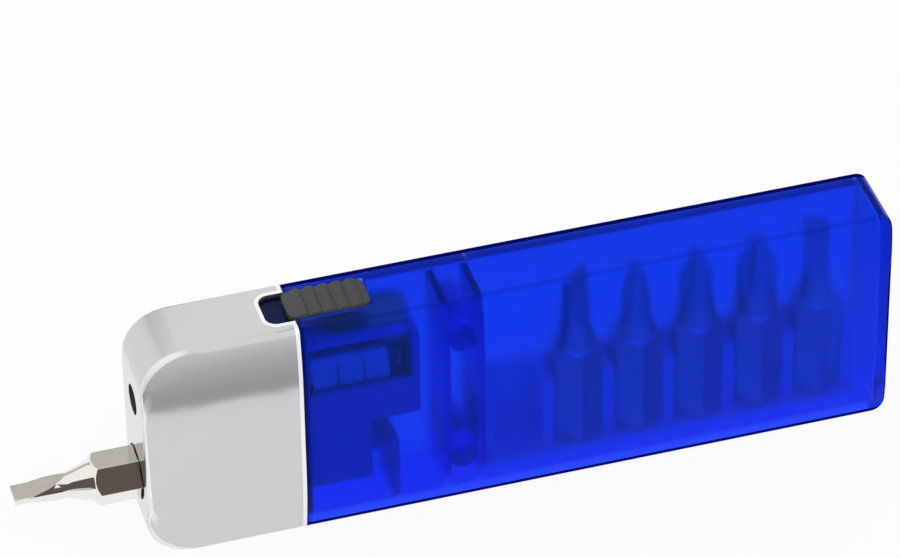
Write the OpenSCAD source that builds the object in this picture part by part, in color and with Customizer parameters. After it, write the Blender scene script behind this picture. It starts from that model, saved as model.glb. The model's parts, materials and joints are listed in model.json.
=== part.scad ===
// Pocket screwdriver with a lamp: a flat two-part body that stands on its long narrow edge.
// +X runs from the driving end to the tail, +Y from the front face to the rear face, +Z up.
// Inside the modules X is measured from the seam between head and case, and Y from mid thickness.

/* [Body] */
// Height of the body on its long edge
body_w = 34.2; // [34:0.1:40]
// Thickness of the body at its middle
body_t = 12.5; // [12.4:0.1:15]
// Length of the case from the seam to the tail
case_l = 82.9; // [82.5:0.1:95]
// Length of the head from the seam to its end face
head_l = 21.8; // [21:0.1:26]
// Wall of the clear case
case_wall = 1.5; // [1.2:0.1:1.7]
// Wall of the head
head_wall = 1.3; // [1.1:0.1:1.5]
// Width of the band along each long edge where the faces curve back
crown_run = 9.8; // [7:0.1:11]
// How far the faces curve back at the long edges
crown_drop = 1; // [0.6:0.1:1.1]
// Rounding of all outer edges
edge_r = 0.8; // [0.5:0.1:1.1]
// Length over which the head's faces curve back to its end
head_run = 19; // [12:0.5:20]
// How far the head's faces curve back at its end
head_drop = 0.4; // [0.3:0.1:0.6]
// Corner radius of the head seen from the front
head_corner_r = 5.8; // [4:0.1:7]
// Corner radius of the head's front and rear faces
head_face_r = 9; // [6:0.1:10]
// Corner radius of the tail seen from the front
tail_corner_r = 1.8; // [1:0.1:3.5]

/* [Driver bit] */
// Width of the bits' hexagon across its flats
bit_af = 6.35; // [6:0.05:6.4]
// Length of every bit
bit_l = 26; // [25:0.5:27]
// How far the driver bit stands out of the head
bit_out = 17.1; // [16:0.1:18]
// Height of the driver bit's axis
bit_z = 11.3; // [10.5:0.1:12]
// Length of a bit's cone between hexagon and tip
bit_cone_l = 3.5; // [3:0.1:4.5]
// Length of the flat or crossed tip of a bit
bit_tip_l = 7.3; // [6:0.1:8]
// Width of the driver bit's blade
driver_blade_w = 3.3; // [2.5:0.1:4.5]
// Thickness of a blade at its edge
blade_edge_t = 0.9; // [0.6:0.1:1.2]
// Outer diameter of the socket's cup
socket_d = 8.1; // [7.9:0.05:8.2]
// Side of the socket's square shank
socket_shank = 5; // [4:0.1:5.5]
// Diameter of the magnet behind the bit
magnet_d = 6; // [5:0.1:6.2]
// Thickness of the magnet
magnet_t = 2; // [1.5:0.1:2.2]

/* [Lamp] */
// Diameter of the lamp's round body
led_d = 5; // [4.8:0.1:5.2]
// Length of the lamp with its dome
led_l = 8.6; // [8:0.1:9]
// Height of the lamp's axis
led_z = 23.7; // [23:0.1:25]
// Diameter of the light's opening in the head
led_hole_d = 4.3; // [4:0.1:4.8]
// Diameter of a button cell
cell_d = 7.9; // [7.5:0.1:8.2]
// Thickness of a button cell
cell_t = 3.6; // [3.2:0.1:3.7]

/* [Switch] */
// Length of the sliding knob
knob_l = 11.3; // [10.8:0.1:11.8]
// Width of the sliding knob
knob_w = 5.5; // [5:0.1:6]
// How far the knob stands above the body
knob_rise = 0.6; // [0.4:0.1:1]
// Travel of the knob from off to on
knob_travel = 2.8; // [2.4:0.1:3]
// How far the knob's recess reaches into the head
notch_l = 3.6; // [3.5:0.1:4.2]
// Number of ridges on the knob
knob_ribs = 5; // [4:1:6]

/* [Bit bay] */
// Distance between neighbouring bits
bit_pitch = 8.6; // [8.5:0.1:8.8]
// Place of the empty pocket, from the seam
pocket_x = 30.8; // [30.6:0.1:31.2]
// Height of the bits' lower ends
bits_z = 4.4; // [4.2:0.1:4.8]
// Height of the hinge pin's axis
hinge_z = 3.3; // [3.2:0.1:3.5]
// Diameter of the hinge pin
pin_d = 1; // [0.8:0.1:1.2]
// Outer diameter of the hinge's barrels
barrel_d = 2.5; // [2.3:0.1:2.6]

/* [Hidden] */
$fn = 48;

// Named clearances and the overrun of every cut
over = 1;
seam_gap = 0.15;
panel_gap = 0.3;
slide_gap = 0.25;
seat_gap = 0.02;
fit_gap = 0.05;

// The part's frame has its origin under the middle of the whole length, bit included
total_l = bit_out + head_l + case_l;
seam_x = bit_out + head_l - total_l / 2;
half_t = body_t / 2;

// Rounded block form: rings in the XZ plane stacked from the front face to the rear face
corner_steps = 6;
crown_steps = 4;
fillet_steps = 3;
least_r = 0.3;
function crown_radius(run, drop) = (run * run + drop * drop) / (2 * drop);
// Depth where the edge's rounding ends, for a crown of radius R and an edge rounding r
function fillet_depth(run, R, r) = R - sqrt(pow(R - r, 2) - pow(run - r, 2));
function tangent_depth(run, R, r) = R - (R - fillet_depth(run, R, r)) * R / (R - r);
function tangent_inset(run, R, r) = run - (run - r) * R / (R - r);
// Inset of the outline at depth d under the face
function crown_inset(d, run, R, r) =
    d < tangent_depth(run, R, r) ? run - sqrt(R * R - pow(R - d, 2)) :
    d < fillet_depth(run, R, r) ? r - sqrt(r * r - pow(fillet_depth(run, R, r) - d, 2)) : 0;
function fillet_inset(d, r) = d < r ? r - sqrt(r * r - pow(r - d, 2)) : 0;
function arc(cx, cz, r, from) =
    [for (i = [0 : corner_steps])
        let (a = from + 90 * i / corner_steps) [cx + r * cos(a), cz + r * sin(a)]];
function ring(x0, x1, z0, z1, rh, rt) = concat(
    arc(x0 + rh, z0 + rh, rh, 180), arc(x1 - rt, z0 + rt, rt, 270),
    arc(x1 - rt, z1 - rt, rt, 0), arc(x0 + rh, z1 - rh, rh, 90));

module form(inset = 0) {
    r = max(edge_r - inset, least_r);
    rh = max(head_corner_r - inset, least_r);
    rf = max(head_face_r - inset, least_r);
    rt = max(tail_corner_r - inset, least_r);
    R = crown_radius(crown_run, crown_drop);
    Rh = crown_radius(head_run, head_drop);
    et = tangent_inset(crown_run, R, r);
    turn = asin((r - et) / r);
    crown = [for (i = [0 : crown_steps])
        let (e = crown_run + (et - crown_run) * i / crown_steps) R - sqrt(R * R - pow(crown_run - e, 2))];
    fillet = [for (i = [1 : fillet_steps])
        let (a = turn + (90 - turn) * i / fillet_steps) fillet_depth(crown_run, R, r) - r * cos(a)];
    depths = concat(crown, fillet);
    layers = len(depths);
    half = half_t - inset;
    rings = [for (k = [0 : 2 * layers - 1])
        let (
            d = k < layers ? depths[k] : depths[2 * layers - 1 - k],
            y = k < layers ? d - half : half - d,
            e = crown_inset(d, crown_run, R, r),
            rk = rh + (rf - rh) * (e < et ? e / et : (crown_run - e) / (crown_run - et)),
            eh = crown_inset(d, head_run, Rh, r),
            ef = fillet_inset(d, r))
        [for (p = ring(inset - head_l + eh, case_l - inset - ef, inset + e, body_w - inset - e, rk, rt))
            [p[0], y, p[1]]]];
    n = len(rings[0]);
    points = [for (row = rings) each row];
    sides = [for (k = [0 : 2 * layers - 2]) for (j = [0 : n - 1])
        let (a = k * n + j, b = k * n + (j + 1) % n) each [[a, b, b + n], [a, b + n, a + n]]];
    front = [[for (j = [n - 1 : -1 : 0]) j]];
    rear = [[for (j = [0 : n - 1]) (2 * layers - 1) * n + j]];
    polyhedron(points, concat(sides, front, rear), convexity = 4);
}

// A block between two corners
module block(low, high) {
    translate(low) cube(high - low);
}

// A rod along X from x0 to x1, and one along Y from y0 to y1
module rod_x(x0, x1, r, y = 0, z = 0) {
    translate([x0, y, z]) rotate([0, 90, 0]) cylinder(h = x1 - x0, r = r);
}
module rod_y(y0, y1, r, x, z) {
    translate([x, y0, z]) rotate([-90, 0, 0]) cylinder(h = y1 - y0, r = r);
}
module at_seam() {
    translate([seam_x, 0, 0]) children();
}

// Everything on one side of the seam
module head_side(inset) {
    intersection() {
        form(inset);
        block([-head_l - over, -body_t, -over], [0, body_t, body_w + over]);
    }
}
module case_side(inset) {
    intersection() {
        form(inset);
        block([0, -body_t, -over], [case_l + over, body_t, body_w + over]);
    }
}

// Flat plate with its two left corners rounded, for the switch's recess and tongue
module tongue_plan(x0, x1, w, r) {
    translate([x0 + r, -w / 2]) square([x1 - x0 - r, w]);
    translate([x0, r - w / 2]) square([r + r, w - 2 * r]);
    for (s = [-1, 1]) translate([x0 + r, s * (w / 2 - r)]) circle(r);
}
module tongue_block(x0, x1, w, r, z0, z1) {
    translate([0, 0, z0]) linear_extrude(z1 - z0) tongue_plan(x0, x1, w, r);
}

// Switch: places derived from the knob
knob_x0 = knob_travel + seam_gap - notch_l;
knob_x1 = knob_x0 + knob_l;
recess_depth = 0.65;
recess_z = body_w - recess_depth;
recess_w = knob_w + 2 * slide_gap;
recess_r = 1.6;
knob_corner_r = 1.2;
tooth_h_share = 0.55;
tooth_shares = [0.5, 0.3, -0.3];
notch_w = recess_w + 2 * seam_gap;
tongue_t = 0.9;
stem_l = 2;
stem_w = 1.6;
stem_share = 0.6;
stem_x = knob_x0 + knob_l * stem_share;
wiper_l = 5;
wiper_lap = 1.2;
wiper_w = 2.8;
strip_t = 0.25;
wiper_t = 0.3;
strip_w = 1.8;
lamp_strip_x = -1.5;
contact_w = 5;

// Chassis: plates, decks and the battery's cradle
chassis_half = half_t - case_wall - crown_drop / 2 + fit_gap;
plate_t = 1;
ring_gap = 0.2;
ring_t = 0.9;
ring_back = 3.5;
block_half = 4.8;
block_x1 = 9.6;
shelf_z = bit_z + block_half;
cradle_x0 = 0.2;
cells = 3;
cell_step = 0.25;
cell_cap_share = 0.4;
cell_x0 = cradle_x0 + plate_t + 2 * fit_gap + wiper_t;
spring_l = 2.6;
spring_x0 = cell_x0 + cells * cell_t + fit_gap;
spring_x1 = spring_x0 + spring_l;
cradle_x1 = spring_x1 + 2 * fit_gap + wiper_t + plate_t;
deck_drop = 1.2;
deck_z = body_w - case_wall - ring_gap - ring_t - deck_drop;
deck_t = 0.8;
strip_z = deck_z + seat_gap;
led_x1 = -head_l + head_wall + led_l;
flange_r = 2.9;
bulkhead_t = 1.4;
lead_pitch = 2.54;
lead_r = 0.25;
rib_x1 = 13.4;
rib_t = 0.8;
rib_z = 11.7;
cradle_share = 0.2;

// Partitions and screw bosses of the case
wall_a = 19.6;
wall_b = 24.4;
boss_x = (wall_a + wall_b + plate_t) / 2;
boss_r = 2;
boss_inset = 7;
boss_z = [boss_inset, body_w - boss_inset];
boss_gap = 0.5;
boss_end = half_t - case_wall - boss_gap;
screw_r = 0.8;
screw_head_r = 1.7;
screw_head_t = 0.9;
screw_l = 6.5;
screw_sink = 0.25;
screw_tip_gap = 0.5;
screw_y = half_t - screw_sink;
cross_l = 2.2;
cross_w = 0.55;
cross_t = 0.6;

// Rear panels
panel_y = 3;
window_lip = 0.1;
window_z = case_wall - window_lip;
swing_gap = 0.55;
door_z0 = window_z + swing_gap;
panel_z0 = window_z + panel_gap;
panel_z1 = body_w - window_z - panel_gap;
door_x0 = wall_b + plate_t + panel_gap + seam_gap;
door_x1 = case_l - case_wall - panel_gap;
hinge_y = 4.5;
lug_l = 3;
barrel_l = 5;
lug_x = [door_x0 + lug_l / 2, (door_x0 + door_x1) / 2, case_l - case_wall - lug_l / 2];
notch_top = 4.9;
thumb_r = 4;
thumb_depth = 0.6;

// Bits: kind 0 has a flat blade, kind 1 a cross tip, listed from the empty pocket to the tail
hex_l = bit_l - bit_cone_l - bit_tip_l;
bit_corner = bit_af / cos(30) / 2;
chamfer = 0.6;
neck_share = 0.55;
point_share = 0.18;
flute_share = 0.45;
grind_share = 1.04;
flute_tilt = 16;
spare_kinds = [0, 1, 1, 1, 0];
spare_tip_w_shares = [0.65, 0.62, 0.75, 0.9, 0.58];
spare_tip_l_shares = [1, 1, 1, 1, 1.16];
spare_turns = [30, 90, 90, 90, 150];
bit_x1 = -head_l - bit_out + bit_l;
magnet_x0 = bit_x1 + fit_gap;
magnet_x1 = magnet_x0 + magnet_t;
cup_base_t = 1.23;
cup_x1 = magnet_x1 + cup_base_t;
block_x0 = cup_x1 + seat_gap;

// Bit rack
rack_pockets = 6;
rack_y = -0.2;
pocket_gap = 0.2;
finger_t = bit_pitch - bit_af - 2 * pocket_gap;
rack_back0 = rack_y + bit_corner + pocket_gap;
rack_back1 = 4.25;
rack_front = -3.7;
rack_floor_y = 2.9;
rack_floor_t = 1;
rack_top = 15;
finger_front = -2;
rack_trim = 0.5;
rack_x0 = pocket_x - bit_pitch / 2 - finger_t / 2 + rack_trim;
rack_x1 = pocket_x + bit_pitch * (rack_pockets - 0.5) + finger_t / 2;
pad_r = 1.2;
pad_z = 12;

// Coil spring: one unbroken tube along a helix about the cells' axis, with straight ends
spring_r = 2.6;
spring_wire_r = 0.22;
spring_turns = 2;
spring_sides = 6;
spring_rings = 8;
coil_x0 = spring_x0 + 2 * spring_wire_r;
coil_x1 = spring_x1 - 2 * spring_wire_r;
coil_points = [for (i = [0 : spring_turns * spring_rings])
    let (a = 360 * i / spring_rings, t = i / spring_turns / spring_rings)
        [coil_x0 + (coil_x1 - coil_x0) * t, spring_r * cos(a), spring_r * sin(a)]];
spring_path = concat([[spring_x0, spring_r, 0]], coil_points, [[spring_x1, spring_r, 0]]);

module head_cap() {
    color("silver") at_seam() {
        difference() {
            head_side(0);
            form(head_wall);
            rod_x(-head_l - over, -head_l + head_wall + over, bit_corner + pocket_gap, 0, bit_z);
            rod_x(-head_l - over, -head_l + head_wall + over, led_hole_d / 2, 0, led_z);
            tongue_block(-notch_l - seam_gap, over, notch_w, recess_r,
                body_w - case_wall - over, body_w + over);
        }
        // Tube that holds the lamp behind its opening
        difference() {
            rod_x(-head_l + head_wall - fit_gap, led_x1 - led_l / 2, led_d / 2 + plate_t, 0, led_z);
            rod_x(-head_l, led_x1, led_d / 2 + fit_gap, 0, led_z);
        }
    }
}

module case_front() {
    color("blue") at_seam() {
        difference() {
            union() {
                difference() {
                    case_side(0);
                    form(case_wall);
                    block([-over, panel_y, window_z], [case_l - case_wall, body_t, body_w - window_z]);
                }
                // Two cross walls with the screw bosses between them
                intersection() {
                    form(case_wall / 2);
                    union() {
                        for (x = [wall_a, wall_b])
                            block([x, -half_t, 0], [x + plate_t, panel_y, body_w]);
                        for (z = boss_z)
                            rod_y(-half_t, boss_end, boss_r, boss_x, z);
                    }
                }
                hinge_lugs();
                tongue_block(-notch_l, over, recess_w, recess_r, recess_z - tongue_t, recess_z);
            }
            // Recess and slot of the switch
            tongue_block(-notch_l, knob_x1 + slide_gap, recess_w, recess_r, recess_z, body_w + over);
            block([stem_x - knob_travel - stem_l / 2 - slide_gap, -stem_w / 2 - slide_gap,
                    body_w - case_wall - over],
                [stem_x + stem_l / 2 + slide_gap, stem_w / 2 + slide_gap, body_w]);
            for (z = boss_z)
                rod_y(screw_y - screw_l - screw_tip_gap, boss_end + over, screw_r + fit_gap, boss_x, z);
            rod_x(door_x0 - panel_gap, door_x1 + panel_gap, pin_d / 2 + seat_gap, hinge_y, hinge_z);
        }
    }
}

// Lugs on the case's floor that carry the hinge pin
module hinge_lugs() {
    for (x = lug_x) {
        rod_x(x - lug_l / 2, x + lug_l / 2, barrel_d / 2, hinge_y, hinge_z);
        block([x - lug_l / 2, hinge_y - barrel_d / 2, window_z - seat_gap],
            [x + lug_l / 2, hinge_y + barrel_d / 4, hinge_z]);
    }
}

// The part of the shell's rear wall between two stations
module rear_panel(x0, x1, z0) {
    difference() {
        intersection() {
            form(0);
            block([x0, panel_y, z0], [x1, body_t, panel_z1]);
        }
        form(case_wall);
    }
}

module rear_cover() {
    color("blue") at_seam() difference() {
        rear_panel(seam_gap, door_x0 - panel_gap, panel_z0);
        for (z = boss_z) {
            rod_y(0, body_t, screw_r + fit_gap, boss_x, z);
            rod_y(screw_y - screw_head_t - fit_gap, body_t, screw_head_r + pocket_gap, boss_x, z);
        }
    }
}

module cover_screws() {
    color("silver") at_seam() for (z = boss_z) difference() {
        union() {
            rod_y(screw_y - screw_head_t, screw_y, screw_head_r, boss_x, z);
            rod_y(screw_y - screw_l, screw_y - screw_head_t + seat_gap, screw_r, boss_x, z);
        }
        translate([boss_x, screw_y - cross_t, z]) for (a = [0, 90]) rotate([0, a, 0])
            block([-cross_l / 2, 0, -cross_w / 2], [cross_l / 2, cross_t + over, cross_w / 2]);
    }
}

module bit_door() {
    color("blue") at_seam() difference() {
        union() {
            rear_panel(door_x0, door_x1, door_z0);
            for (x = lug_x) for (s = [-1, 1])
                if (x + s * lug_l > door_x0 && x + s * lug_l < door_x1) door_barrel(x, s);
        }
        for (x = lug_x)
            block([x - lug_l / 2 - panel_gap, 0, 0], [x + lug_l / 2 + panel_gap, body_t, notch_top]);
        rod_x(door_x0 - over, door_x1 + over, pin_d / 2 + fit_gap, hinge_y, hinge_z);
        // Shallow hollow for a thumb at the upper edge
        rod_y(half_t - thumb_depth, body_t, thumb_r, (door_x0 + door_x1) / 2, panel_z1);
    }
}

module door_barrel(x, s) {
    a = x + s * (lug_l / 2 + panel_gap);
    b = a + s * barrel_l;
    rod_x(min(a, b), max(a, b), barrel_d / 2, hinge_y, hinge_z);
}

module hinge_pin() {
    color("gainsboro") at_seam()
        rod_x(door_x0 - panel_gap / 2, door_x1 + panel_gap / 2, pin_d / 2, hinge_y, hinge_z);
}

module chassis() {
    color("lightsteelblue") at_seam() difference() {
        intersection() {
            form(case_wall + ring_gap);
            union() {
                // Collar inside the seam
                difference() {
                    block([-ring_back, -body_t, 0], [cradle_x0 + plate_t, body_t, body_w]);
                    form(case_wall + ring_gap + ring_t);
                }
                chassis_plates();
            }
        }
        block([block_x0 - over, -socket_shank / 2 - fit_gap, bit_z - socket_shank / 2 - fit_gap],
            [block_x1 - 2 * plate_t, socket_shank / 2 + fit_gap, bit_z + socket_shank / 2 + fit_gap]);
        rod_x(cradle_x0 + plate_t, cradle_x1 - plate_t, cell_d / 2 + fit_gap, 0, led_z);
        for (s = [-1, 1])
            rod_x(led_x1 - over, led_x1 + bulkhead_t + over, lead_r + fit_gap, s * lead_pitch / 2, led_z);
        rod_x(0, cradle_x0 + plate_t + over, lead_r + fit_gap, -lead_pitch / 2, led_z);
    }
}

// Plates and blocks of the chassis, in the order in which they stand from the head to the case
module chassis_plates() {
    h = chassis_half;
    // Block round the socket's shank, and the shelf above it
    block([block_x0, -h, bit_z - block_half], [block_x1, h, shelf_z + fit_gap]);
    block([led_x1, -h, shelf_z], [cradle_x1, h, shelf_z + plate_t]);
    // Bulkhead behind the lamp
    block([led_x1, -h, shelf_z], [led_x1 + bulkhead_t, h, led_z + led_d]);
    // Cradle of the button cells between two end walls that carry the switch deck
    block([cradle_x0, -h, shelf_z], [cradle_x1, h, led_z - cell_d * cradle_share]);
    for (x = [cradle_x0, cradle_x1 - plate_t])
        block([x, -h, shelf_z], [x + plate_t, h, deck_z - deck_t + fit_gap]);
    block([cradle_x0, -h, deck_z - deck_t], [cradle_x1 - plate_t - wiper_t - pocket_gap, h, deck_z]);
    // Thin rib beside the socket block
    block([block_x1 - fit_gap, -h, rib_z - rib_t], [rib_x1, h, rib_z]);
    block([rib_x1 - rib_t, -h, case_wall], [rib_x1, h, rib_z]);
}

module bit_socket() {
    color("dimgray") at_seam() difference() {
        union() {
            rod_x(-head_l + head_wall + fit_gap, cup_x1, socket_d / 2, 0, bit_z);
            block([cup_x1 - plate_t, -socket_shank / 2, bit_z - socket_shank / 2],
                [block_x1 - 2 * plate_t - fit_gap, socket_shank / 2, bit_z + socket_shank / 2]);
        }
        translate([-head_l, 0, bit_z]) rotate([0, 90, 0]) rotate([0, 0, 30])
            cylinder(h = magnet_x0 + head_l, r = bit_corner + fit_gap, $fn = 6);
        rod_x(-head_l, magnet_x1 + seat_gap, magnet_d / 2 + seat_gap, 0, bit_z);
    }
}

module socket_magnet() {
    color("silver") at_seam() rod_x(magnet_x0, magnet_x1, magnet_d / 2, 0, bit_z);
}

// A bit that stands on its hexagon's end at z = 0: kind 0 has a flat blade, kind 1 a cross tip
module hex_bit(kind, tip_w, tip_l) {
    neck_r = max(tip_w / 2, bit_af * neck_share / 2);
    intersection() {
        cylinder(h = hex_l, r = bit_corner, $fn = 6);
        union() {
            cylinder(h = chamfer, r1 = bit_corner - chamfer, r2 = bit_corner);
            translate([0, 0, chamfer]) cylinder(h = hex_l - 2 * chamfer, r = bit_corner);
            translate([0, 0, hex_l - chamfer])
                cylinder(h = chamfer, r1 = bit_corner, r2 = bit_corner - chamfer);
        }
    }
    translate([0, 0, hex_l]) cylinder(h = bit_cone_l, r1 = bit_af / 2 - chamfer / 2, r2 = neck_r);
    if (kind == 0) blade_tip(tip_w, tip_l, neck_r);
    else cross_tip(tip_w, tip_l, neck_r);
}

// Flat blade ground on both sides: a bar between two slanting planes
module blade_tip(tip_w, tip_l, neck_r) {
    z0 = hex_l + bit_cone_l;
    z1 = z0 + tip_l;
    edge = blade_edge_t / 2;
    base = neck_r * grind_share;
    intersection() {
        translate([0, 0, z0]) cylinder(h = tip_l, r1 = neck_r, r2 = tip_w / 2);
        rotate([90, 0, 90]) translate([0, 0, -bit_af]) linear_extrude(2 * bit_af)
            polygon([[-base, z0], [base, z0], [edge, z1 - tip_l / 3],
                [edge, z1], [-edge, z1], [-edge, z1 - tip_l / 3]]);
    }
}

// Pointed tip with four flutes
module cross_tip(tip_w, tip_l, neck_r) {
    z0 = hex_l + bit_cone_l;
    straight = tip_l / 2;
    point_r = tip_w * point_share;
    difference() {
        union() {
            translate([0, 0, z0]) cylinder(h = straight, r1 = neck_r, r2 = tip_w / 2);
            translate([0, 0, z0 + straight])
                cylinder(h = tip_l - straight, r1 = tip_w / 2, r2 = point_r);
        }
        for (a = [0 : 90 : 270]) rotate([0, 0, a + 45])
            translate([blade_edge_t * flute_share, 0, z0 + tip_l]) rotate([0, -flute_tilt, 0])
                rotate([0, 0, -45]) translate([0, 0, -2 * tip_l])
                    cube([tip_w, tip_w, 3 * tip_l]);
    }
}

module driver_bit() {
    color("gray") at_seam() translate([bit_x1, 0, bit_z]) rotate([0, -90, 0]) rotate([0, 0, 90])
        hex_bit(0, driver_blade_w, bit_tip_l);
}

module spare_bit(i) {
    color("dimgray") at_seam() translate([pocket_x + bit_pitch * i, rack_y, bits_z])
        rotate([0, 0, spare_turns[i - 1]])
            hex_bit(spare_kinds[i - 1], spare_tip_w_shares[i - 1] * bit_af,
                spare_tip_l_shares[i - 1] * bit_tip_l);
}
module spare_bit_1() { spare_bit(1); }
module spare_bit_2() { spare_bit(2); }
module spare_bit_3() { spare_bit(3); }
module spare_bit_4() { spare_bit(4); }
module spare_bit_5() { spare_bit(5); }

module bit_rack() {
    floor_z = bits_z - seat_gap;
    pocket_w = bit_pitch - finger_t;
    color("lightsteelblue") at_seam() difference() {
        union() {
            block([rack_x0, rack_front, floor_z - rack_floor_t], [rack_x1, rack_back1, rack_top]);
            for (i = [0.5 : 2 : rack_pockets])
                rod_y(rack_floor_y, half_t - case_wall, pad_r, pocket_x + bit_pitch * i, pad_z);
        }
        // Low front edge, and room for the hinge's barrels behind the floor
        block([rack_x0 - over, rack_front - over, floor_z],
            [rack_x1 + over, finger_front, rack_top + over]);
        block([rack_x0 - over, rack_floor_y, floor_z - rack_floor_t - over],
            [rack_x1 + over, rack_back1 + over, notch_top]);
        // Pockets between the fingers
        for (i = [0 : rack_pockets - 1]) {
            x = pocket_x + bit_pitch * i;
            block([x - pocket_w / 2, finger_front - over, floor_z],
                [x + pocket_w / 2, rack_back0, rack_top + over]);
        }
    }
}

module led_lamp() {
    dome_x = led_x1 - led_l + led_d / 2;
    color("white") at_seam() {
        rod_x(dome_x, led_x1 - seat_gap, led_d / 2, 0, led_z);
        translate([dome_x, 0, led_z]) sphere(led_d / 2);
        rod_x(led_x1 - plate_t, led_x1 - seat_gap, flange_r, 0, led_z);
    }
}

module led_leads() {
    color("silver") at_seam() {
        rod_x(led_x1, cradle_x0 + plate_t, lead_r, -lead_pitch / 2, led_z);
        rod_x(led_x1, lamp_strip_x - seat_gap, lead_r, lead_pitch / 2, led_z);
    }
}

module cell(i) {
    x = cell_x0 + (i - 1) * cell_t;
    cap_r = cell_d * cell_cap_share;
    color("silver") at_seam() {
        rod_x(x + cell_step, x + cell_t - seat_gap, cell_d / 2, 0, led_z);
        rod_x(x, x + cell_t / 2, cap_r, 0, led_z);
    }
}
module cell_1() { cell(1); }
module cell_2() { cell(2); }
module cell_3() { cell(3); }

function unit(v) = v / norm(v);
function tangent(path, i) =
    unit(path[min(i + 1, len(path) - 1)] - path[max(i - 1, 0)]);
module tube(path, r, sides) {
    rings = [for (i = [0 : len(path) - 1])
        let (
            t = (i == 0 || i == len(path) - 1) ? [1, 0, 0] : tangent(path, i),
            out = unit([0, path[i][1], path[i][2]] - t * (t * [0, path[i][1], path[i][2]])),
            side = cross(t, out))
        [for (k = [0 : sides - 1])
            path[i] + r * (out * cos(360 * k / sides) + side * sin(360 * k / sides))]];
    points = [for (row = rings) each row];
    last = (len(path) - 1) * sides;
    faces = concat(
        [for (i = [0 : len(path) - 2]) for (k = [0 : sides - 1])
            let (a = i * sides + k, b = i * sides + (k + 1) % sides)
            each [[a, b + sides, b], [a, a + sides, b + sides]]],
        [[for (k = [0 : sides - 1]) k]],
        [[for (k = [sides - 1 : -1 : 0]) last + k]]);
    polyhedron(points, faces);
}
module battery_spring() {
    last = len(spring_path) - 1;
    gaps = [for (i = [0 : last]) for (j = [i + spring_rings / 2 : last])
        norm(spring_path[i] - spring_path[j]) - 2 * spring_wire_r];
    echo(least_spring_gap = min(gaps));
    color("goldenrod") at_seam() translate([0, 0, led_z]) tube(spring_path, spring_wire_r, spring_sides);
}

// Flat contact under the first cell
module cell_contact() {
    x = cradle_x0 + plate_t + seat_gap;
    color("gold") at_seam()
        block([x, -contact_w / 2, led_z - contact_w / 2],
            [x + wiper_t, contact_w / 2, led_z + contact_w / 2]);
}

// Contact behind the spring that turns on to the switch deck
module spring_contact() {
    x = cradle_x1 - plate_t - wiper_t - seat_gap;
    strip_x0 = stem_x - knob_travel + wiper_l / 2 - wiper_lap;
    color("gold") at_seam() {
        block([x, -contact_w / 2, led_z - contact_w / 2], [x + wiper_t, contact_w / 2, strip_z + strip_t]);
        block([strip_x0, -contact_w / 2, strip_z], [x + wiper_t, contact_w / 2, strip_z + strip_t]);
    }
}

// Contact from the lamp's lead to the switch deck
module lamp_contact() {
    strip_x1 = stem_x - knob_travel - stem_l / 2;
    y0 = lead_pitch / 2 - strip_w / 2;
    color("gold") at_seam() {
        block([lamp_strip_x, y0, led_z - strip_w / 2],
            [lamp_strip_x + strip_t, y0 + strip_w, strip_z + strip_t]);
        block([lamp_strip_x, y0, strip_z], [strip_x1, y0 + strip_w, strip_z + strip_t]);
    }
}

// Sliding knob with saw-tooth ridges across its top
module switch_knob() {
    floor_z = recess_z + seat_gap;
    top_z = body_w + knob_rise;
    tooth = knob_l / (knob_ribs + 1);
    low_z = top_z - knob_rise * tooth_h_share;
    color("dimgray") at_seam() {
        intersection() {
            rotate([90, 0, 0]) translate([0, 0, -knob_w / 2]) linear_extrude(knob_w)
                polygon(concat(
                    [[knob_x0, floor_z], [knob_x1, floor_z], [knob_x1, low_z]],
                    [for (i = [knob_ribs : -1 : 1]) each [
                        [knob_x0 + tooth * (i + tooth_shares[0]), low_z],
                        [knob_x0 + tooth * (i + tooth_shares[1]), top_z],
                        [knob_x0 + tooth * i, top_z],
                        [knob_x0 + tooth * (i + tooth_shares[2]), low_z]]],
                    [[knob_x0, low_z]]));
            translate([0, 0, floor_z - over]) linear_extrude(top_z + over) knob_plan();
        }
        block([stem_x - stem_l / 2, -stem_w / 2, strip_z + strip_t + pocket_gap + wiper_t],
            [stem_x + stem_l / 2, stem_w / 2, floor_z + fit_gap]);
    }
}
module knob_plan() {
    translate([knob_x0 + knob_corner_r, -knob_w / 2]) square([knob_l - 2 * knob_corner_r, knob_w]);
    translate([knob_x0, knob_corner_r - knob_w / 2]) square([knob_l, knob_w - 2 * knob_corner_r]);
    for (x = [knob_x0 + knob_corner_r, knob_x1 - knob_corner_r]) for (s = [-1, 1])
        translate([x, s * (knob_w / 2 - knob_corner_r)]) circle(knob_corner_r);
}

module switch_wiper() {
    z = strip_z + strip_t + pocket_gap;
    color("gold") at_seam()
        block([stem_x - wiper_l / 2, -wiper_w / 2, z], [stem_x + wiper_l / 2, wiper_w / 2, z + wiper_t]);
}

head_cap();
case_front();
rear_cover();
cover_screws();
chassis();
bit_socket();
socket_magnet();
led_lamp();
led_leads();
cell_1();
cell_2();
cell_3();
battery_spring();
cell_contact();
spring_contact();
lamp_contact();
hinge_pin();
switch_knob();
switch_wiper();
driver_bit();
bit_door();
bit_rack();
spare_bit_1();
spare_bit_2();
spare_bit_3();
spare_bit_4();
spare_bit_5();
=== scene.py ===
import json
from math import cos, pi, radians, sin

import bpy
from mathutils import Matrix, Vector


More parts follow.
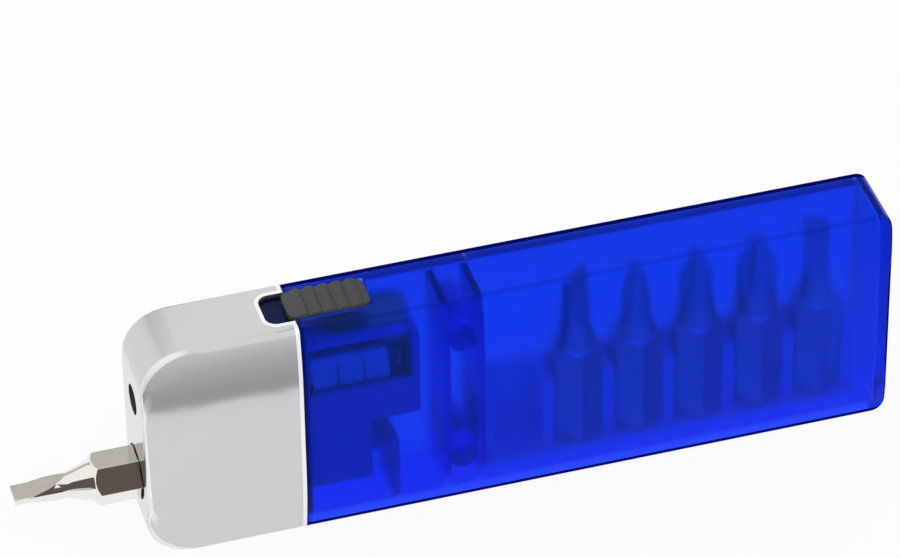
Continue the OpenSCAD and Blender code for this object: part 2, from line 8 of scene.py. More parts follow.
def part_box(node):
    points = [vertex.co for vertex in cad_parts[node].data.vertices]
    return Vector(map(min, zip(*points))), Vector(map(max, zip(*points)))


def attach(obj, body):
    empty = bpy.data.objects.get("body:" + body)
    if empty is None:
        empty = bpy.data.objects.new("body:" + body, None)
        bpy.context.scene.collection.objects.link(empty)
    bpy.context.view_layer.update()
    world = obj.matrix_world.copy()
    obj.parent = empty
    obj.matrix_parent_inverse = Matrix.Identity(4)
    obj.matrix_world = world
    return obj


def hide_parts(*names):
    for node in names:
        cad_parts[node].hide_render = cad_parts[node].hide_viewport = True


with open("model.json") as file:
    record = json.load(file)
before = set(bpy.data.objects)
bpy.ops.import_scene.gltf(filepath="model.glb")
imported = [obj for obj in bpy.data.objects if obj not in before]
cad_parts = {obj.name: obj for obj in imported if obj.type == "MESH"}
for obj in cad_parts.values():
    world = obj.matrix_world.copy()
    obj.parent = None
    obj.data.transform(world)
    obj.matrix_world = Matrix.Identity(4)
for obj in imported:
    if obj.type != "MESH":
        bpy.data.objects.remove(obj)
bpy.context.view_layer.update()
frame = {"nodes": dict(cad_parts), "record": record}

bl_info = {
    "name": "Pocket Screwdriver",
    "version": (1, 0, 0),
    "blender": (4, 5, 0),
    "location": "View3D > Sidebar > Screwdriver",
    "description": "Finished pieces and a stage for the frame of the pocket screwdriver",
    "category": "Object",
}

MM = 0.001
SPARE_BITS = [f"spare_bit_{i}" for i in range(1, 6)]
CELLS = [f"cell_{i}" for i in range(1, 4)]
CONTACTS = ["cell_contact", "spring_contact", "lamp_contact", "switch_wiper"]

# Metal nodes that keep their CAD mesh: look, colour and roughness
METALS = {
    "bit_socket": ("socket_steel", (0.2, 0.2, 0.21), 0.35),
    "socket_magnet": ("magnet_nickel", (0.7, 0.69, 0.66), 0.15),
    "led_leads": ("lead_tin", (0.66, 0.66, 0.67), 0.25),
    "battery_spring": ("spring_wire", (0.6, 0.58, 0.52), 0.25),
    "cover_screws": ("screw_steel", (0.62, 0.62, 0.63), 0.22),
    "hinge_pin": ("screw_steel", (0.62, 0.62, 0.63), 0.22),
    **{node: ("cell_steel", (0.55, 0.55, 0.56), 0.22) for node in CELLS},
    **{node: ("contact_brass", (0.72, 0.55, 0.26), 0.28) for node in CONTACTS}}

# Lamps: place, size in metres and power in watts
LAMPS = {
    "key_lamp": ((-0.35, -0.75, 0.95), 0.7, 5.0),
    "fill_lamp": ((0.75, -0.35, 0.7), 0.7, 2.0),
    "top_lamp": ((0.1, 0.5, 0.9), 0.8, 1.2)}

# Cards that only reflections see: two opposite corners
CARDS = {
    "crown_flag": ((-0.25, -0.115, 0.2 * MM), (0.25, -0.039, 0.2 * MM)),
    "top_flag": ((-0.0125, 0.03, 0.036), (0.1, 0.03, 0.1)),
    "bit_screen": ((-0.09, 0.1, 0.05), (-0.018, 0.1, 0.108))}

# Colours of the stage
PAPER = ((0.86, 0.86, 0.86), (0.9, 0.9, 0.9))
UNDERGLOW = (0.17, 0.2, 1)
CROWN_GREYS = ((0.41,) * 3, (0.72,) * 3)
TOP_BLUE = (0.02, 0.06, 0.35)
SCREEN_GREY = (0.55, 0.53, 0.5)
SKY = (0.8, 0.8, 0.81)
SKY_STRENGTH = 0.75


def body_of(node):
    """The body that carries a CAD node."""
    bodies = frame["record"]["behaviour"]["bodies"]
    return next(body for body, nodes in bodies.items() if node in nodes)


# ---- Settings

class ShellSettings(bpy.types.PropertyGroup):
    """Sizes and colours of the moulded shells."""
    edge: bpy.props.FloatProperty(
        name="Edge rounding", description="Radius on the cut edges of the clear shells",
        default=0.12 * MM, unit="LENGTH", precision=5)
    rim: bpy.props.FloatProperty(
        name="Head rim", description="Radius on the head's edges at the seam and round the switch",
        default=0.35 * MM, unit="LENGTH", precision=5)
    silver: bpy.props.FloatVectorProperty(
        name="Silver", description="Colour of the coat on the head",
        default=(0.63, 0.63, 0.64), subtype="COLOR", min=0, max=1)
    tint: bpy.props.FloatVectorProperty(
        name="Clear tint", description="Colour that light keeps on its way through the plastic",
        default=(0.07, 0.55, 0.985), subtype="COLOR", min=0, max=1)
    density: bpy.props.FloatProperty(
        name="Tint strength", description="How strongly a metre of the plastic takes up light",
        default=450, min=0, max=5000)
    skin: bpy.props.FloatVectorProperty(
        name="Clear skin", description="Colour of the clear plastic's surface",
        default=(0.125, 0.3, 1.0), subtype="COLOR", min=0, max=1)
    # Painted shade: the dark colour that the clear plastic gets along its edges
    outline: bpy.props.FloatVectorProperty(
        name="Clear outline", description="Colour of the clear plastic along its edges",
        default=(0.002, 0.005, 0.24), subtype="COLOR", min=0, max=1)
    gloss: bpy.props.FloatVectorProperty(
        name="Clear gloss", description="Colour of the reflections on the clear plastic",
        default=(0.05, 0.25, 1.0), subtype="COLOR", min=0, max=1)
    lining: bpy.props.FloatVectorProperty(
        name="Head lining", description="Colour of the bare plastic inside the head",
        default=(0.06, 0.06, 0.065), subtype="COLOR", min=0, max=1)


class InnerSettings(bpy.types.PropertyGroup):
    """Colours of the pieces inside the case."""
    chassis: bpy.props.FloatVectorProperty(
        name="Chassis", description="Colour of the chassis",
        default=(0.18, 0.26, 0.62), subtype="COLOR", min=0, max=1)
    rack: bpy.props.FloatVectorProperty(
        name="Bit rack", description="Colour of the bit rack",
        default=(0.5, 0.65, 1.0), subtype="COLOR", min=0, max=1)
    chrome: bpy.props.FloatVectorProperty(
        name="Driver bit", description="Colour of the bit in the socket",
        default=(0.88, 0.84, 0.8), subtype="COLOR", min=0, max=1)
    # Painted reflection: the dark colour stands in for a dark surrounding mirrored in the bit's
    # front facet
    facet: bpy.props.FloatVectorProperty(
        name="Dark facet", description="Colour of the driver bit's facet that looks to the front",
        default=(0.1, 0.084, 0.07), subtype="COLOR", min=0, max=1)
    steel: bpy.props.FloatVectorProperty(
        name="Spare bits", description="Colour of the bits in the rack",
        default=(0.65, 0.63, 0.61), subtype="COLOR", min=0, max=1)
    knob: bpy.props.FloatVectorProperty(
        name="Knob", description="Colour of the switch's knob",
        default=(0.05, 0.052, 0.048), subtype="COLOR", min=0, max=1)


class StageSettings(bpy.types.PropertyGroup):
    """Camera, floor and lamps."""
    azimuth: bpy.props.FloatProperty(
        name="Azimuth", description="Angle of the view round the object",
        default=radians(-16.086), subtype="ANGLE")
    elevation: bpy.props.FloatProperty(
        name="Elevation", description="Angle of the view above the floor",
        default=radians(38.181), subtype="ANGLE")
    roll: bpy.props.FloatProperty(
        name="Roll", description="Turn of the camera about its own axis",
        default=radians(-0.886), subtype="ANGLE")
    distance: bpy.props.FloatProperty(
        name="Distance", description="From the camera to the point that it aims at",
        default=725.26 * MM, unit="LENGTH")
    aim: bpy.props.FloatVectorProperty(
        name="Aim", description="Point that the camera aims at",
        default=(3.24 * MM, 10.54 * MM, 24.93 * MM), subtype="XYZ")
    lens: bpy.props.FloatProperty(
        name="Lens", description="Focal length of the camera in millimetres",
        default=213.84, subtype="DISTANCE_CAMERA")
    floor: bpy.props.FloatProperty(
        name="Floor", description="Half width of the floor",
        default=1.5, unit="LENGTH")


# ---- Materials

class Value:
    """A number that a node puts out, so that shader maths reads as Python."""

    def __init__(self, finish, socket):
        self.finish = finish
        self.socket = socket

    def _math(self, operation, first, second):
        return self.finish.add("ShaderNodeMath", {"operation": operation}, {0: first, 1: second})

    def __add__(self, other):
        return self._math("ADD", self, other)

    def __radd__(self, other):
        return self._math("ADD", other, self)

    def __sub__(self, other):
        return self._math("SUBTRACT", self, other)

    def __rsub__(self, other):
        return self._math("SUBTRACT", other, self)

    def __mul__(self, other):
        return self._math("MULTIPLY", self, other)

    def __truediv__(self, other):
        return self._math("DIVIDE", self, other)

    def __pow__(self, other):
        return self._math("POWER", self, other)

    def __gt__(self, other):
        return self._math("GREATER_THAN", self, other)

    def __lt__(self, other):
        return self._math("LESS_THAN", self, other)

    def __abs__(self):
        return self._math("ABSOLUTE", self, 0)

    def capped(self):
        """The number, at least 0 and at most 1."""
        return self._math("MINIMUM", self.floored(), 1)

    def floored(self):
        """The number, at least 0."""
        return self._math("MAXIMUM", self, 0)


class Finish:
    """One procedural material and the calls that fill its node tree."""

    def __init__(self, name):
        self.material = bpy.data.materials.new(name)
        self.material.use_nodes = True
        self.tree = self.material.node_tree
        self.tree.nodes.clear()
        self.place = self.add("ShaderNodeTexCoord", out="Object")

    def add(self, kind, settings=None, sockets=None, out=0):
        """Adds a node with its settings, fills or links its sockets, and returns one output."""
        node = self.tree.nodes.new(kind)
        for key, value in (settings or {}).items():
            setattr(node, key, value)
        for key, value in (sockets or {}).items():
            if isinstance(value, Value):
                self.tree.links.new(value.socket, node.inputs[key])
            else:
                node.inputs[key].default_value = value
        return Value(self, node.outputs[out])

    def axes(self):
        """The place on the piece as three numbers, in metres."""
        return [self.add("ShaderNodeSeparateXYZ", {}, {"Vector": self.place}, out=axis)
                for axis in range(3)]

    def attribute(self, name):
        """A number that the piece's own mesh carries."""
        return self.add("ShaderNodeAttribute", {"attribute_name": name}, out="Fac")

    def noise(self, size, detail=2.0, stretch=(1, 1, 1)):
        """Soft noise whose spots are about this size, in metres, longer where stretch is small."""
        spot = self.add("ShaderNodeMapping", {}, {"Vector": self.place, "Scale": stretch})
        return self.add("ShaderNodeTexNoise", {}, {
            "Vector": spot, "Scale": 1 / size, "Detail": detail, "Roughness": 0.5})

    def mix(self, share, low, high):
        """Colour between low and high, each of which may be a node's output."""
        low, high = [end if isinstance(end, Value) else (*end, 1) for end in (low, high)]
        # Sockets 0, 6 and 7 are the colour mix's factor and its two colours
        return self.add("ShaderNodeMix", {"data_type": "RGBA"}, {0: share, 6: low, 7: high}, out=2)

    def bump(self, height, depth):
        """Normal of a surface whose grain is this deep, in metres."""
        return self.add("ShaderNodeBump", {}, {
            "Height": height, "Distance": depth, "Strength": 1.0})

    def seen_by(self, ray):
        """1 for rays of this kind, else 0."""
        return self.add("ShaderNodeLightPath", out=f"Is {ray} Ray")

    def ends(self, **outputs):
        """Links the material's outputs and returns the material."""
        end = self.tree.nodes.new("ShaderNodeOutputMaterial")
        for key, value in outputs.items():
            self.tree.links.new(value.socket, end.inputs[key])
        return self.material

    def surface(self, sockets, absorption=None):
        """Ends the tree in a Principled shader, with tinted absorption inside where it is given."""
        outputs = {"Surface": self.add("ShaderNodeBsdfPrincipled", {}, sockets, out="BSDF")}
        if absorption:
            tint, density = absorption
            outputs["Volume"] = self.add("ShaderNodeVolumeAbsorption", {}, {
                "Color": (*tint, 1), "Density": density}, out="Volume")
        return self.ends(**outputs)


def shade(colour, factor):
    """The colour made lighter or darker."""
    return tuple(min(1.0, channel * factor) for channel in colour)


def silver_coat(name):
    """Satin silver paint with a fine flake and painted highlights on its rims and on its corners'
    rounded edges, over a bare dark lining.
    """
    shells = bpy.context.scene.shells
    colour = tuple(shells.silver)
    form = ShellForm()
    finish = Finish(name)
    flake = finish.noise(0.09 * MM, detail=1.0)
    cloud = finish.noise(9 * MM, detail=2.0)
    inner = finish.attribute("inner")
    fillet = finish.attribute("fillet")
    x, y, z = finish.axes()
    # Painted highlight on the rim of the switch's notch in the top face: all that lies within reach
    # of the notch's core
    notch_x, notch_y, reach, depth = 2.15 * MM, 1.65 * MM, 2.1 * MM, 0.4 * MM
    across = (x * -1 + (form.seam - notch_x)).floored()
    along = (abs(y) - notch_y).floored()
    notch = ((across ** 2 + along ** 2) ** 0.5 < reach) * (z > form.height - depth)
    # Painted highlights: the bevelled rims, the strip along the seam and the notch's rim get a
    # light, less metallic colour
    seam_rim = 0.55 * MM
    bright = (finish.attribute("rim") + (x > form.seam - seam_rim) + notch).capped()
    # The rounded corner of the outline, 0 where it starts and 1 soon after
    corner, rise = form.head_corner[0], 8
    middle = form.height / 2
    bend_x = (x * -1 + (form.x0 + corner)).floored()
    bend_z = (abs(z - middle) - (middle - corner)).floored()
    bend = (bend_x * bend_z * (rise / corner ** 2)).capped()
    # The light on the corners' rounded edges, which fades out towards the seam
    glint_end, fade = 7 * MM, 2 * MM
    glint = fillet * ((x * -1 + (form.x0 + glint_end)) / fade).capped() * 0.7
    paint = finish.mix(flake * 0.7 + cloud * 0.3, shade(colour, 0.94), shade(colour, 1.05))
    # The paint with its painted highlights on the rims and on the corners' rounded edges
    rim = finish.mix((bright + glint).capped(), paint, (0.96,) * 3)
    return finish.surface({
        "Base Color": finish.mix(inner, rim, tuple(shells.lining)),
        "Metallic": 0.92 - bright * 0.6 - inner * 0.32,
        "Roughness": 0.11 + cloud * 0.03 + flake * 0.02 + fillet * 0.12 + bend * 0.15 + bright * 0.2
                     + inner * 0.3,
        "Coat Weight": 0.2 - inner * 0.2,
        "Coat Roughness": 0.08,
        "Normal": finish.bump(flake, 0.002 * MM)})


def clear_plastic(name):
    """Tinted clear plastic, frosted on its way through, with painted shade along its outline, on
    the edge between front and top and beside the head.
    """
    shells = bpy.context.scene.shells
    skin = tuple(shells.skin)
    form = ShellForm()
    finish = Finish(name)
    flow = finish.noise(14 * MM, detail=2.0, stretch=(0.5, 1, 1))
    x, y, z = finish.axes()
    fillet_z, tail, arris_z = 0.66 * MM, 0.5 * MM, 1.0 * MM
    front_y, front_z = 1.3 * MM, 1.0 * MM
    rear_y, rear_z = 2.2 * MM, 0.6 * MM
    # Painted shade: the brims at the bottom and the tail and the front-bottom and rear-top edges
    # get a dark, metallic outline colour
    brim = finish.attribute("brim") * ((z < fillet_z) + (x > form.x1 - tail))
    front_edge = (y < front_y - form.half) * (z < front_z)
    rear_edge = (y > form.half - rear_y) * (z > form.height - rear_z)
    edge = (brim + front_edge + rear_edge).capped()
    # Painted shade on the rounded edge between front and top, which makes it a little darker than
    # both
    arris = finish.attribute("fillet") * (y < 0) * (z > form.height - arris_z) * 0.45
    # Painted shade on the strip that the head covers, which fades out past the seam
    strip, fade = 1.0 * MM, 0.8 * MM
    seam = ((x * -1 + (form.seam + strip)) / fade).capped()
    plain = finish.mix(flow, (skin[0] * 0.8, skin[1] * 0.85, skin[2]), skin)
    # The base colour takes the painted shade of the outline, the arris and the strip by the head
    return finish.surface({
        "Base Color": finish.mix((edge + seam + arris).capped(), plain, tuple(shells.outline)),
        "Metallic": edge * 0.9,
        "Roughness": 0.26 + flow * 0.06 + edge * 0.6,
        "Transmission Weight": 0.97,
        "IOR": 1.33,
        "Specular Tint": (*shells.gloss, 1),
        "Normal": finish.bump(flow, 0.02 * MM)},
        (tuple(shells.tint), shells.density))


def inner_moulding(name, colour):
    """Plain moulded plastic of a piece inside."""
    finish = Finish(name)
    cloud = finish.noise(4 * MM, detail=3.0)
    return finish.surface({
        "Base Color": finish.mix(cloud, shade(colour, 0.85), shade(colour, 1.1)),
        "Roughness": 0.35 + cloud * 0.15,
        "Normal": finish.bump(finish.noise(0.3 * MM), 0.005 * MM)})


def metal(name, colour, rough, depth=0.004 * MM, dark=None):
    """Bare metal with a fine grain, and with a painted dark reflection where the mesh is marked as
    facet.
    """
    finish = Finish(name)
    grain = finish.noise(0.35 * MM, detail=3.0)
    cloud = finish.noise(5 * MM, detail=2.0)
    plain = finish.mix(grain * 0.6 + cloud * 0.4, shade(colour, 0.88), shade(colour, 1.08))
    return finish.surface({
        "Base Color": finish.mix(finish.attribute("facet"), plain, dark) if dark else plain,
        "Metallic": 1.0,
        "Roughness": rough + grain * 0.12,
        "Normal": finish.bump(grain, depth)})


def knob_plastic(name):
    """Dark matt plastic with a fine spark-eroded texture."""
    colour = tuple(bpy.context.scene.inner.knob)
    finish = Finish(name)
    grain = finish.noise(0.12 * MM, detail=2.0)
    return finish.surface({
        "Base Color": finish.mix(grain, shade(colour, 0.85), shade(colour, 1.3)),
        "Roughness": 0.48 + grain * 0.12,
        "Normal": finish.bump(grain, 0.012 * MM)})


def lamp_lens(name):
    """Clear epoxy of the lamp, tinted grey so that it looks dark in its hole: painted shade."""
    finish = Finish(name)
    haze = finish.noise(1.5 * MM)
    return finish.surface({
        # Painted shade: the grey tint darkens the lamp in its recess
        "Base Color": finish.mix(haze, (0.3, 0.31, 0.33), (0.36, 0.37, 0.4)),
        "Roughness": 0.05 + haze * 0.05,
        "Transmission Weight": 1.0,
        "IOR": 1.5})


def floor_paper(name):
    """White paper that keeps the shadow, looks white to the camera, glows blue under the case, and
    can be seen through from below."""
    finish = Finish(name)
    fibre = finish.mix(finish.noise(0.8 * MM, detail=3.0), *PAPER)
    paper = finish.add("ShaderNodeBsdfDiffuse", {}, {"Color": fibre}, out="BSDF")
    low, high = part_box("case_front")
    x, y, _ = finish.axes()
    seen = finish.seen_by("Camera")
    glossy = finish.seen_by("Glossy")
    through = finish.seen_by("Transmission")
    # The glow starts a little to the right of the seam
    start, white = low[0] + 4 * MM, 0.9
    under = (abs(y) < high[1]) * (x > start) * (x < high[0]) * (1 - seen)
    tinted = finish.mix(under, (1, 1, 1), UNDERGLOW)
    glow = finish.add("ShaderNodeEmission", {}, {"Color": tinted, "Strength": 1.0}, out="Emission")
    share = (seen + glossy) * white + through
    mixed = finish.add("ShaderNodeMixShader", {}, {0: share, 1: paper, 2: glow}, out="Shader")
    below = finish.add("ShaderNodeNewGeometry", out="Backfacing")
    clear = finish.add("ShaderNodeBsdfTransparent", out="BSDF")
    sided = finish.add("ShaderNodeMixShader", {}, {0: below, 1: mixed, 2: clear}, out="Shader")
    return finish.ends(Surface=sided)


def flag_card(name, colour):
    """Plain card that stands in a reflection."""
    finish = Finish(name)
    weave = finish.noise(2 * MM)
    return finish.surface({
        "Base Color": finish.mix(weave, shade(colour, 0.95), shade(colour, 1.05)),
        "Roughness": 0.9})


def fading_card(name):
    """Grey card that gets lighter away from the object."""
    finish = Finish(name)
    _, y, _ = finish.axes()
    weave = finish.noise(2 * MM)
    start, length = 45 * MM, 60 * MM
    share = (y * -1 - start) / length + weave * 0.02
    return finish.surface({"Base Color": finish.mix(share, *CROWN_GREYS), "Roughness": 0.9})


def finished(build, name, *values, **named):
    """The look of that name, built once."""
    name += "_look"
    return bpy.data.materials.get(name) or build(name, *values, **named)


# ---- Modelling helpers

def only(piece):
    """Leaves just this piece selected and active."""
    if bpy.context.object and bpy.context.object.mode != "OBJECT":
        bpy.ops.object.mode_set(mode="OBJECT")
    bpy.ops.object.select_all(action="DESELECT")
    piece.select_set(True)
    bpy.context.view_layer.objects.active = piece


def apply_modifier(piece, kind, **settings):
    """Adds a modifier with these settings and applies it."""
    only(piece)
    bpy.ops.object.modifier_add(type=kind)
    modifier = piece.modifiers[-1]
    for key, value in settings.items():
        setattr(modifier, key, value)
    bpy.ops.object.modifier_apply(modifier=modifier.name)


def paint(piece, material):
    """Gives a piece its one material."""
    piece.data.materials.clear()
    piece.data.materials.append(material)


def polish(*nodes):
    """Gives CAD nodes that keep their mesh the metal that the table names."""
    for node in nodes:
        paint(frame["nodes"][node], finished(metal, *METALS[node]))


def mark(mesh, name, values):
    """Stores a number for each face corner of a mesh."""
    mesh.attributes.new(name, "FLOAT", "CORNER").data.foreach_set("value", values)


def mount(piece, node, material):
    """Paints a finished piece, and lets it stand for a CAD node on that node's body."""
    paint(piece, material)
    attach(piece, body_of(node))
    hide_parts(node)


def worked_copy(node, name, edge, angle=35, segments=2, split=True):
    """A merged copy of a CAD node with its sharp edges rounded and its curves shaded smoothly.

    Flat faces are cut into triangles first, unless split is False, because long ones with many
    corners shade wrongly after the rounding."""
    merge, flat, smooth, weight = 0.002 * MM, radians(0.5), radians(30), 80
    piece = frame["nodes"][node].copy()
    piece.data = piece.data.copy()
    piece.name = name
    piece.parent = None
    bpy.context.collection.objects.link(piece)
    only(piece)
    bpy.ops.object.mode_set(mode="EDIT")
    bpy.ops.mesh.select_all(action="SELECT")
    bpy.ops.mesh.remove_doubles(threshold=merge)
    bpy.ops.mesh.dissolve_limited(angle_limit=flat)
    bpy.ops.mesh.select_all(action="SELECT")
    if split:
        bpy.ops.mesh.quads_convert_to_tris(quad_method="BEAUTY", ngon_method="CLIP")
    bpy.ops.object.mode_set(mode="OBJECT")
    apply_modifier(piece, "BEVEL", width=edge, segments=segments, limit_method="ANGLE",
                   angle_limit=radians(angle), use_clamp_overlap=True, miter_outer="MITER_ARC")
    only(piece)
    bpy.ops.object.shade_smooth_by_angle(angle=smooth)
    apply_modifier(piece, "WEIGHTED_NORMAL", keep_sharp=True, weight=weight)
    return piece


class ShellForm:
    """The outer surface of head and case: a block with crowned faces, rounded edges and corners.

    Its sizes are those of the CAD: each crown has its run and its drop, and the head's corners
    have their radius on the outline and on the flat face."""
    edge = 0.8 * MM
    crown = (9.8 * MM, 1.0 * MM)
    head_crown = (19 * MM, 0.4 * MM)
    head_corner = (5.8 * MM, 9 * MM)
    tail_corner = 1.8 * MM

    def __init__(self):
        (self.x0, _, _), (self.seam, self.half, self.height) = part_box("head_cap")
        self.x1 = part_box("case_front")[1][0]

    def inset(self, depth, run, drop):
        """How far the outline stands in from its widest, at a depth under the flat face."""
        radius = (run ** 2 + drop ** 2) / (2 * drop)
        fillet = radius - ((radius - self.edge) ** 2 - (run - self.edge) ** 2) ** 0.5
        if depth < radius - (radius - fillet) * radius / (radius - self.edge):
            return run - (radius ** 2 - (radius - depth) ** 2) ** 0.5
        if depth < fillet:
            return self.edge - (self.edge ** 2 - (fillet - depth) ** 2) ** 0.5
        return 0.0

    def gap(self, x, depth, z):
        """How far a point lies outside the outline at its depth, less than 0 within it."""
        run, drop = self.crown
        radius = (run ** 2 + drop ** 2) / (2 * drop)
        start = run - (run - self.edge) * radius / (radius - self.edge)
        inset = self.inset(depth, run, drop)
        share = inset / start if inset < start else (run - inset) / (run - start)
        left = self.x0 + self.inset(depth, *self.head_crown)
        right = self.x1 - self.edge + (self.edge ** 2 - max(self.edge - depth, 0) ** 2) ** 0.5
        corner = self.tail_corner
        if x < 0:
            corner = self.head_corner[0] + (self.head_corner[1] - self.head_corner[0]) * share
        across = max(left - x, x - right) + corner
        up = abs(z - self.height / 2) - self.height / 2 + inset + corner
        return (max(across, 0) ** 2 + max(up, 0) ** 2) ** 0.5 + min(max(across, up), 0) - corner

    def crowned(self, place):
        """Direction in which the crowned front or rear face looks at a place."""
        run, drop = self.crown
        radius = (run ** 2 + drop ** 2) / (2 * drop)
        reach = max(run - min(place.z, self.height - place.z), 0)
        slope = reach / (radius ** 2 - reach ** 2) ** 0.5 * (1 if place.z > self.height / 2 else -1)
        return Vector((0, 1 if place.y > 0 else -1, slope)).normalized()

    def look(self, place):
        """Distance of a place from the surface, and the direction in which the surface looks."""
        x, y, z = place
        depth = self.half - abs(y)
        side = 1 if y > 0 else -1
        step = 0.01 * MM
        if depth < 2 * step and self.gap(x, 0, z) < 5 * step:
            return depth, Vector((0, side, 0))
        depth = max(depth, 2 * step)
        slope = Vector((
            self.gap(x + step, depth, z) - self.gap(x - step, depth, z),
            side * (self.gap(x, depth - step, z) - self.gap(x, depth + step, z)),
            self.gap(x, depth, z + step) - self.gap(x, depth, z - step)))
        return self.gap(x, depth, z) * 2 * step / max(slope.length, step / 1000), slope.normalized()


def crown(piece):
    """Shades the shell's outer faces by their true curve, and marks its rims and its inside."""
    # How near a face lies to the outer surface, and how well it fits the way that surface looks
    near_by, same, askew = 0.2 * MM, 0.92, 0.15
    # The part of Y in the direction of a flat face, the outline's brim and a rounded edge
    flat, brim, fillet = 0.955, 0.15, (0.2, 0.97)
    form = ShellForm()
    mesh = piece.data
    looks = [form.look(vertex.co) for vertex in mesh.vertices]
    normals = [corner.vector.copy() for corner in mesh.corner_normals]
    marks = {name: [0.0] * len(normals) for name in ("fillet", "brim", "rim", "inner")}
    for face in mesh.polygons:
        near = all(abs(looks[vertex][0]) < near_by for vertex in face.vertices)
        fit = face.normal.dot(form.look(face.center)[1])
        for corner in face.loop_indices:
            vertex = mesh.loops[corner].vertex_index
            look = looks[vertex][1]
            if near and fit > same and abs(face.normal.y) > flat:
                normals[corner] = form.crowned(mesh.vertices[vertex].co)
            elif near and fit > same:
                normals[corner] = look
                marks["fillet"][corner] = float(fillet[0] < abs(look.y) < fillet[1])
                marks["brim"][corner] = float(abs(face.normal.y) > brim)
            elif near and fit > askew:
                marks["rim"][corner] = 1.0
            else:
                marks["inner"][corner] = 1.0
    for name, values in marks.items():
        mark(mesh, name, values)
    mesh.normals_split_custom_set(normals)


# ---- Operators

class BuildHead(bpy.types.Operator):
    """Build the silver head with its rounded rims"""
    bl_idname = "screwdriver.head"
    bl_label = "Silver Head"

    def execute(self, context):
        piece = worked_copy("head_cap", "silver_head", context.scene.shells.rim, segments=3)
        crown(piece)
        mount(piece, "head_cap", finished(silver_coat, "silver_coat"))
        return {"FINISHED"}


class BuildShells(bpy.types.Operator):
    """Build the clear case, its rear cover and its bit door"""
    bl_idname = "screwdriver.shells"
    bl_label = "Clear Shells"

    def execute(self, context):
        edge = context.scene.shells.edge
        for node, name in (("case_front", "clear_case"), ("rear_cover", "clear_cover"),
                           ("bit_door", "clear_door")):
            piece = worked_copy(node, name, edge)
            crown(piece)
            mount(piece, node, finished(clear_plastic, "clear_plastic"))
        return {"FINISHED"}


class BuildInside(bpy.types.Operator):
    """Finish the chassis and the bit rack"""
    bl_idname = "screwdriver.inside"
    bl_label = "Inner Mouldings"

    def execute(self, context):
        inner = context.scene.inner
        for node, colour in (("chassis", inner.chassis), ("bit_rack", inner.rack)):
            paint(frame["nodes"][node], finished(inner_moulding, node, tuple(colour)))
        return {"FINISHED"}


class BuildBits(bpy.types.Operator):
    """Build the driver bit and the spare bits in ground steel"""
    bl_idname = "screwdriver.bits"
    bl_label = "Bits"

    def execute(self, context):
        inner = context.scene.inner
        edge, grain = 0.1 * MM, 0.001 * MM
        bright, satin = 0.04, 0.22
        # The chrome bit gets a painted dark reflection on its front facet
        chrome = finished(metal, "bit_chrome", tuple(inner.chrome), bright, dark=tuple(inner.facet))
        steel = finished(metal, "bit_steel", tuple(inner.steel), satin, depth=grain)
        for node in ["driver_bit"] + SPARE_BITS:
            piece = worked_copy(node, node + "_ground", edge, split=False)
            self.find_facet(piece.data)
            mount(piece, node, chrome if node == "driver_bit" else steel)
        return {"FINISHED"}

    def find_facet(self, mesh):
        """Marks the faces that look to the front and 30 degrees up, dark in the photograph."""
        # The mark carries a painted reflection: these faces get a dark colour that stands in for a
        # dark surrounding mirrored in them
        look = Vector((0, -cos(pi / 6), sin(pi / 6)))
        # A side of the bit, and a side that looks nearly that way
        steep, same = 0.8, 0.97
        values = [0.0] * len(mesh.loops)
        for face in mesh.polygons:
            around = Vector((0, face.normal.y, face.normal.z))
            dark = around.length > steep and around.normalized().dot(look) > same
            for corner in face.loop_indices:
                values[corner] = float(dark)
        mark(mesh, "facet", values)


class BuildSocket(bpy.types.Operator):
    """Finish the hex socket and its magnet"""
    bl_idname = "screwdriver.socket"
    bl_label = "Socket"

    def execute(self, context):
        polish("bit_socket", "socket_magnet")
        return {"FINISHED"}


class BuildLamp(bpy.types.Operator):
    """Finish the lamp, its leads, the button cells, the spring and the contacts"""
    bl_idname = "screwdriver.lamp"
    bl_label = "Lamp Circuit"

    def execute(self, context):
        paint(frame["nodes"]["led_lamp"], finished(lamp_lens, "lamp_lens"))
        polish("led_leads", *CELLS, "battery_spring", *CONTACTS)
        return {"FINISHED"}


class BuildKnob(bpy.types.Operator):
    """Build the ribbed knob of the switch"""
    bl_idname = "screwdriver.knob"
    bl_label = "Switch Knob"

    def execute(self, context):
        edge = 0.15 * MM
        piece = worked_copy("switch_knob", "ribbed_knob", edge, angle=20, segments=3)
        mount(piece, "switch_knob", finished(knob_plastic, "knob_plastic"))
        return {"FINISHED"}


class BuildFasteners(bpy.types.Operator):
    """Finish the cover screws and the hinge pin"""
    bl_idname = "screwdriver.fasteners"
    bl_label = "Fasteners"

    def execute(self, context):
        polish("cover_screws", "hinge_pin")
        return {"FINISHED"}


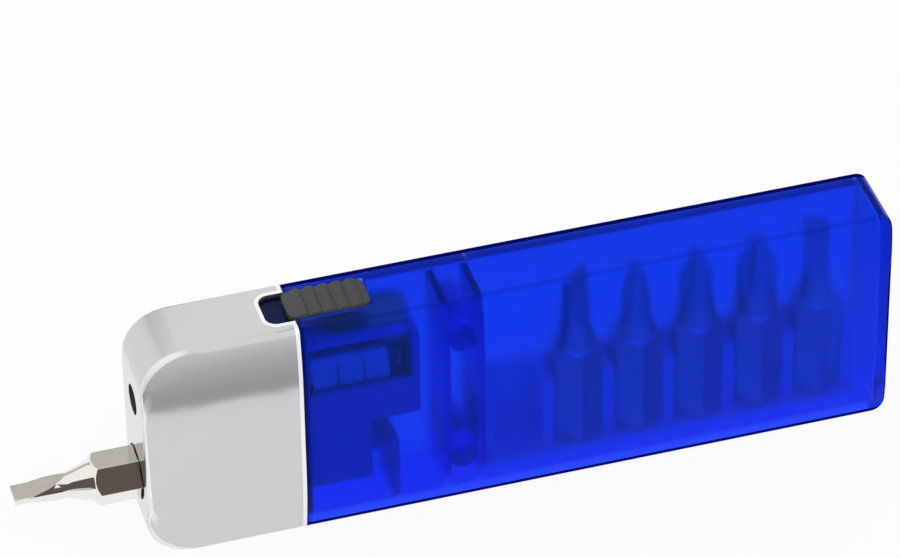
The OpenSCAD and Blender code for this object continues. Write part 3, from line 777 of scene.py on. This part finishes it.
class BuildStage(bpy.types.Operator):
    """Set the floor, the reflected cards, the lamps and the camera at the photograph's angle"""
    bl_idname = "screwdriver.stage"
    bl_label = "Stage"

    def execute(self, context):
        stage = context.scene.stage
        self.floor(stage.floor)
        self.card("crown_flag", finished(fading_card, "crown_card"))
        self.card("top_flag", finished(flag_card, "blue_card", TOP_BLUE))
        self.card("bit_screen", finished(flag_card, "grey_card", SCREEN_GREY))
        for name, settings in LAMPS.items():
            self.lamp(name, *settings)
        self.world()
        self.camera(stage)
        context.scene.view_settings.view_transform = "Standard"
        return {"FINISHED"}

    def floor(self, half):
        """The floor, a little above the object's base so that the two planes differ."""
        lift = 0.02 * MM
        bpy.ops.object.select_all(action="DESELECT")
        bpy.ops.mesh.primitive_plane_add(size=2 * half, location=(0, 0, lift))
        bpy.ops.object.transform_apply(location=True)
        floor = bpy.context.object
        floor.name = "floor"
        paint(floor, finished(floor_paper, "floor_paper"))

    def card(self, name, material):
        """A card that only reflections see, flat or upright along X."""
        low, high = [Vector(corner) for corner in CARDS[name]]
        size = high - low
        upright = size.z > 0
        bpy.ops.object.select_all(action="DESELECT")
        bpy.ops.mesh.primitive_plane_add(
            size=1, location=(low + high) / 2, rotation=(pi / 2 if upright else 0, 0, 0))
        card = bpy.context.object
        card.scale = (size.x, size.z if upright else size.y, 1)
        bpy.ops.object.transform_apply(location=True, rotation=True, scale=True)
        card.name = name
        for ray in ("camera", "diffuse", "transmission", "shadow"):
            setattr(card, "visible_" + ray, False)
        paint(card, material)

    def lamp(self, name, place, size, power):
        """A square lamp that looks at the middle of the floor and isn't seen in reflections."""
        bpy.ops.object.light_add(type="AREA", location=place)
        lamp = bpy.context.object
        lamp.name = name
        lamp.data.size = size
        lamp.visible_glossy = False
        lamp.data.energy = power
        lamp.rotation_euler = (-Vector(place)).to_track_quat("-Z", "Y").to_euler()

    def world(self):
        """White surroundings that light matt surfaces a little less."""
        world = bpy.data.worlds.new("studio")
        world.use_nodes = True
        tree = world.node_tree
        tree.nodes.clear()
        path = tree.nodes.new("ShaderNodeLightPath")
        mix = tree.nodes.new("ShaderNodeMixShader")
        end = tree.nodes.new("ShaderNodeOutputWorld")
        tree.links.new(path.outputs["Is Diffuse Ray"], mix.inputs[0])
        for socket, colour, strength in ((1, (1, 1, 1), 1.0), (2, SKY, SKY_STRENGTH)):
            light = tree.nodes.new("ShaderNodeBackground")
            light.inputs["Color"].default_value = (*colour, 1)
            light.inputs["Strength"].default_value = strength
            tree.links.new(light.outputs[0], mix.inputs[socket])
        tree.links.new(mix.outputs[0], end.inputs["Surface"])
        bpy.context.scene.world = world

    def camera(self, stage):
        """The camera at the photograph's angle."""
        around, up = stage.azimuth, stage.elevation
        back = Vector((sin(around) * cos(up), -cos(around) * cos(up), sin(up)))
        bpy.ops.object.camera_add()
        camera = bpy.context.object
        camera.name = "photo_camera"
        turn = (Matrix.Rotation(around, 4, "Z") @ Matrix.Rotation(pi / 2 - up, 4, "X")
                @ Matrix.Rotation(stage.roll, 4, "Z"))
        camera.matrix_world = Matrix.Translation(Vector(stage.aim) + back * stage.distance) @ turn
        camera.data.lens = stage.lens
        camera.data.sensor_width = 36
        camera.data.clip_start = 0.01
        bpy.context.scene.camera = camera


STEPS = (BuildHead, BuildShells, BuildInside, BuildBits, BuildSocket, BuildLamp, BuildKnob,
         BuildFasteners, BuildStage)


class ScrewdriverPanel(bpy.types.Panel):
    """Steps and settings of the pocket screwdriver"""
    bl_idname = "VIEW3D_PT_screwdriver"
    bl_label = "Pocket Screwdriver"
    bl_space_type = "VIEW_3D"
    bl_region_type = "UI"
    bl_category = "Screwdriver"

    def draw(self, context):
        for step in STEPS:
            self.layout.operator(step.bl_idname)
        for group in SETTINGS:
            box = self.layout.box()
            settings = getattr(context.scene, group)
            for name in settings.__annotations__:
                box.prop(settings, name)


SETTINGS = {"shells": ShellSettings, "inner": InnerSettings, "stage": StageSettings}


def register():
    for group in SETTINGS.values():
        bpy.utils.register_class(group)
    for name, group in SETTINGS.items():
        setattr(bpy.types.Scene, name, bpy.props.PointerProperty(type=group))
    for step in STEPS:
        bpy.utils.register_class(step)
    bpy.utils.register_class(ScrewdriverPanel)


def unregister():
    bpy.utils.unregister_class(ScrewdriverPanel)
    for step in reversed(STEPS):
        bpy.utils.unregister_class(step)
    for name, group in SETTINGS.items():
        delattr(bpy.types.Scene, name)
        bpy.utils.unregister_class(group)


def main():
    """Runs every step in order."""
    register()
    for step in STEPS:
        group, name = step.bl_idname.split(".")
        getattr(getattr(bpy.ops, group), name)()


if __name__ == "__main__":
    main()
